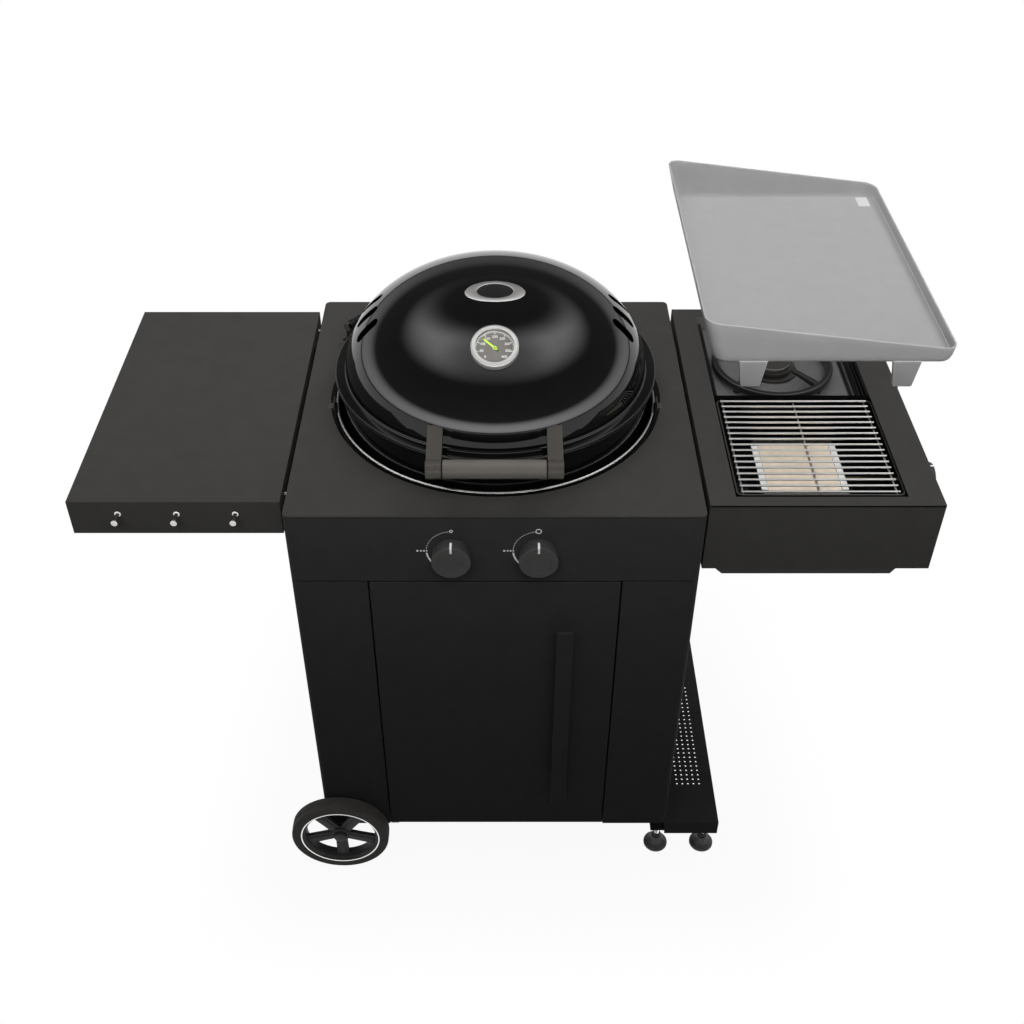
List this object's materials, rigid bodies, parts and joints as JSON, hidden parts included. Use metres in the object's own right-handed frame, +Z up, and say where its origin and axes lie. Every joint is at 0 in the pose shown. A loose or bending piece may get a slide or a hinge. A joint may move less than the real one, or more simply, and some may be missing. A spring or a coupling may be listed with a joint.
{
  "type": "gas grill",
  "caption": "Kettle gas grill in a wheeled cabinet with a hinged domed lid, a door, a folding side shelf and a side burner module under a loose cover tray.",
  "frame": {"origin": "on the floor, below the centre of the whole part's box", "axes": "+X to the right seen from the front, +Y from the front to the back, +Z up"},
  "size_m": [1.475, 0.7623, 1.206],
  "materials": {
    "worktop_paint": "matt warm dark grey paint",
    "cabinet_paint": "matt warm dark grey paint",
    "black_enamel": "gloss black enamel",
    "grey_enamel": "satin dark grey enamel",
    "black_paint": "satin black paint",
    "stainless": "brushed",
    "plated_steel": "bright plated",
    "bronze_metal": "satin dark bronze",
    "burner_metal": "as cast",
    "valve_brass": "plain",
    "black_iron": "matt enamelled",
    "tyre_rubber": "matt",
    "hub_plastic": "matt",
    "knob_plastic": "satin",
    "foot_plastic": "matt",
    "tile_ceramic": "matt ceramic, cream",
    "dial_paint": "matt",
    "needle_paint": "green",
    "clear_glass": "clear",
    "cover_plastic": "matt light grey"
  },
  "bodies": {
    "cabinet": {"base_tray": "cabinet_paint", "levelling_feet": "foot_plastic", "axle": "plated_steel", "left_side_panel": "cabinet_paint", "right_side_panel": "cabinet_paint", "back_panel": "cabinet_paint", "front_left_panel": "cabinet_paint", "front_right_panel": "cabinet_paint", "control_panel": "cabinet_paint", "top_frame": "black_paint", "top_plate": "worktop_paint", "kettle_ring": "black_enamel", "kettle_bowl": "black_enamel", "bowl_brackets": "black_paint", "funnel": "black_enamel", "cooking_grate": "stainless", "outer_burner": "stainless", "inner_burner": "stainless", "burner_support": "stainless", "gas_manifold": "valve_brass", "drip_cup": "black_enamel", "lid_hinge_bracket": "black_paint", "lid_hinge_pin": "plated_steel", "door_hinge_pins": "plated_steel", "shelf_hinge_brackets": "plated_steel", "module_housing": "worktop_paint", "bay_liner": "black_enamel", "ir_burner": "stainless", "ceramic_tiles": "tile_ceramic", "hob_tray": "grey_enamel", "hob_burner": "burner_metal", "side_valves": "valve_brass"},
    "lid": {"lid_shell": "black_enamel", "lid_hinge_strap": "black_paint", "lid_handle_arms": "bronze_metal", "lid_handle_bar": "bronze_metal", "thermometer_case": "stainless", "thermometer_dial": "dial_paint", "thermometer_glass": "clear_glass"},
    "needle": {"thermometer_needle": "needle_paint"},
    "door": {"door_panel": "cabinet_paint", "door_handle": "cabinet_paint"},
    "shelf": {"shelf_panel": "worktop_paint", "tool_hooks": "stainless"},
    "front_wheel": {"front_tyre": "tyre_rubber", "front_hub": "hub_plastic"},
    "rear_wheel": {"rear_tyre": "tyre_rubber", "rear_hub": "hub_plastic"},
    "grid": {"side_grid": "stainless"},
    "stand": {"pot_stand": "black_iron"},
    "cover": {"cover_tray": "cover_plastic"},
    "drip": {"drip_tray": "black_paint"},
    "inner_burner_stem_body": {"inner_burner_stem": "plated_steel"},
    "inner_burner_knob_body": {"inner_burner_knob": "knob_plastic"},
    "outer_burner_stem_body": {"outer_burner_stem": "plated_steel"},
    "outer_burner_knob_body": {"outer_burner_knob": "knob_plastic"},
    "side_grill_stem_body": {"side_grill_stem": "plated_steel"},
    "side_grill_knob_body": {"side_grill_knob": "knob_plastic"},
    "side_hob_stem_body": {"side_hob_stem": "plated_steel"},
    "side_hob_knob_body": {"side_hob_knob": "knob_plastic"}
  },
  "joints": [
    {"name": "lid_hinge", "type": "hinge", "parent": "cabinet", "child": "lid", "pos_m": [-0.28834, 0.20241, 0.965], "axis": [-0.6157, -0.788, 0], "range_deg": [0, 100]},
    {"name": "thermometer_needle", "type": "hinge", "parent": "lid", "child": "needle", "pos_m": [-0.0335, -0.16065, 1.12651], "axis": [0, -0.4453, 0.8954], "range_deg": [-180, 85], "stiffness_Nm_per_rad": 0.002},
    {"name": "door_hinge", "type": "hinge", "parent": "cabinet", "child": "door", "pos_m": [-0.2395, -0.3402, 0.108], "axis": [0, 0, -1], "range_deg": [0, 95]},
    {"name": "shelf_fold", "type": "hinge", "parent": "cabinet", "child": "shelf", "pos_m": [-0.3935, -0.01145, 0.85], "axis": [0, -1, 0], "range_deg": [0, 90]},
    {"name": "front_wheel_spin", "type": "hinge", "parent": "cabinet", "child": "front_wheel", "pos_m": [-0.349, -0.3627, 0.098], "axis": [0, 1, 0], "continuous": true},
    {"name": "rear_wheel_spin", "type": "hinge", "parent": "cabinet", "child": "rear_wheel", "pos_m": [-0.349, 0.3423, 0.098], "axis": [0, 1, 0], "continuous": true},
    {"name": "grid_lift", "type": "slide", "parent": "cabinet", "child": "grid", "axis": [0, 0, 1], "range_m": [0, 0.04]},
    {"name": "pot_stand_lift", "type": "slide", "parent": "cabinet", "child": "stand", "axis": [0, 0, 1], "range_m": [0, 0.04]},
    {"name": "cover_lift", "type": "slide", "parent": "cabinet", "child": "cover", "axis": [-0.0242, 0.5127, 0.8582], "range_m": [-0.18608, 0]},
    {"name": "drip_tray_slide", "type": "slide", "parent": "cabinet", "child": "drip", "axis": [0, -1, 0], "range_m": [0, 0.25]},
    {"name": "inner_burner_push", "type": "slide", "parent": "cabinet", "child": "inner_burner_stem_body", "axis": [0, 1, 0], "range_m": [0, 0.003], "stiffness_N_per_m": 2000},
    {"name": "inner_burner_turn", "type": "hinge", "parent": "inner_burner_stem_body", "child": "inner_burner_knob_body", "pos_m": [-0.1052, -0.3462, 0.8505], "axis": [0, -1, 0], "range_deg": [0, 120]},
    {"name": "outer_burner_push", "type": "slide", "parent": "cabinet", "child": "outer_burner_stem_body", "axis": [0, 1, 0], "range_m": [0, 0.003], "stiffness_N_per_m": 2000},
    {"name": "outer_burner_turn", "type": "hinge", "parent": "outer_burner_stem_body", "child": "outer_burner_knob_body", "pos_m": [0.0382, -0.3462, 0.8505], "axis": [0, -1, 0], "range_deg": [0, 120]},
    {"name": "side_grill_push", "type": "slide", "parent": "cabinet", "child": "side_grill_stem_body", "axis": [-1, 0, 0], "range_m": [0, 0.003], "stiffness_N_per_m": 2000},
    {"name": "side_grill_turn", "type": "hinge", "parent": "side_grill_stem_body", "child": "side_grill_knob_body", "pos_m": [0.7055, -0.1542, 0.846], "axis": [1, 0, 0], "range_deg": [0, 120]},
    {"name": "side_hob_push", "type": "slide", "parent": "cabinet", "child": "side_hob_stem_body", "axis": [-1, 0, 0], "range_m": [0, 0.003], "stiffness_N_per_m": 2000},
    {"name": "side_hob_turn", "type": "hinge", "parent": "side_hob_stem_body", "child": "side_hob_knob_body", "pos_m": [0.7055, 0.1238, 0.846], "axis": [1, 0, 0], "range_deg": [0, 120]}
  ]
}
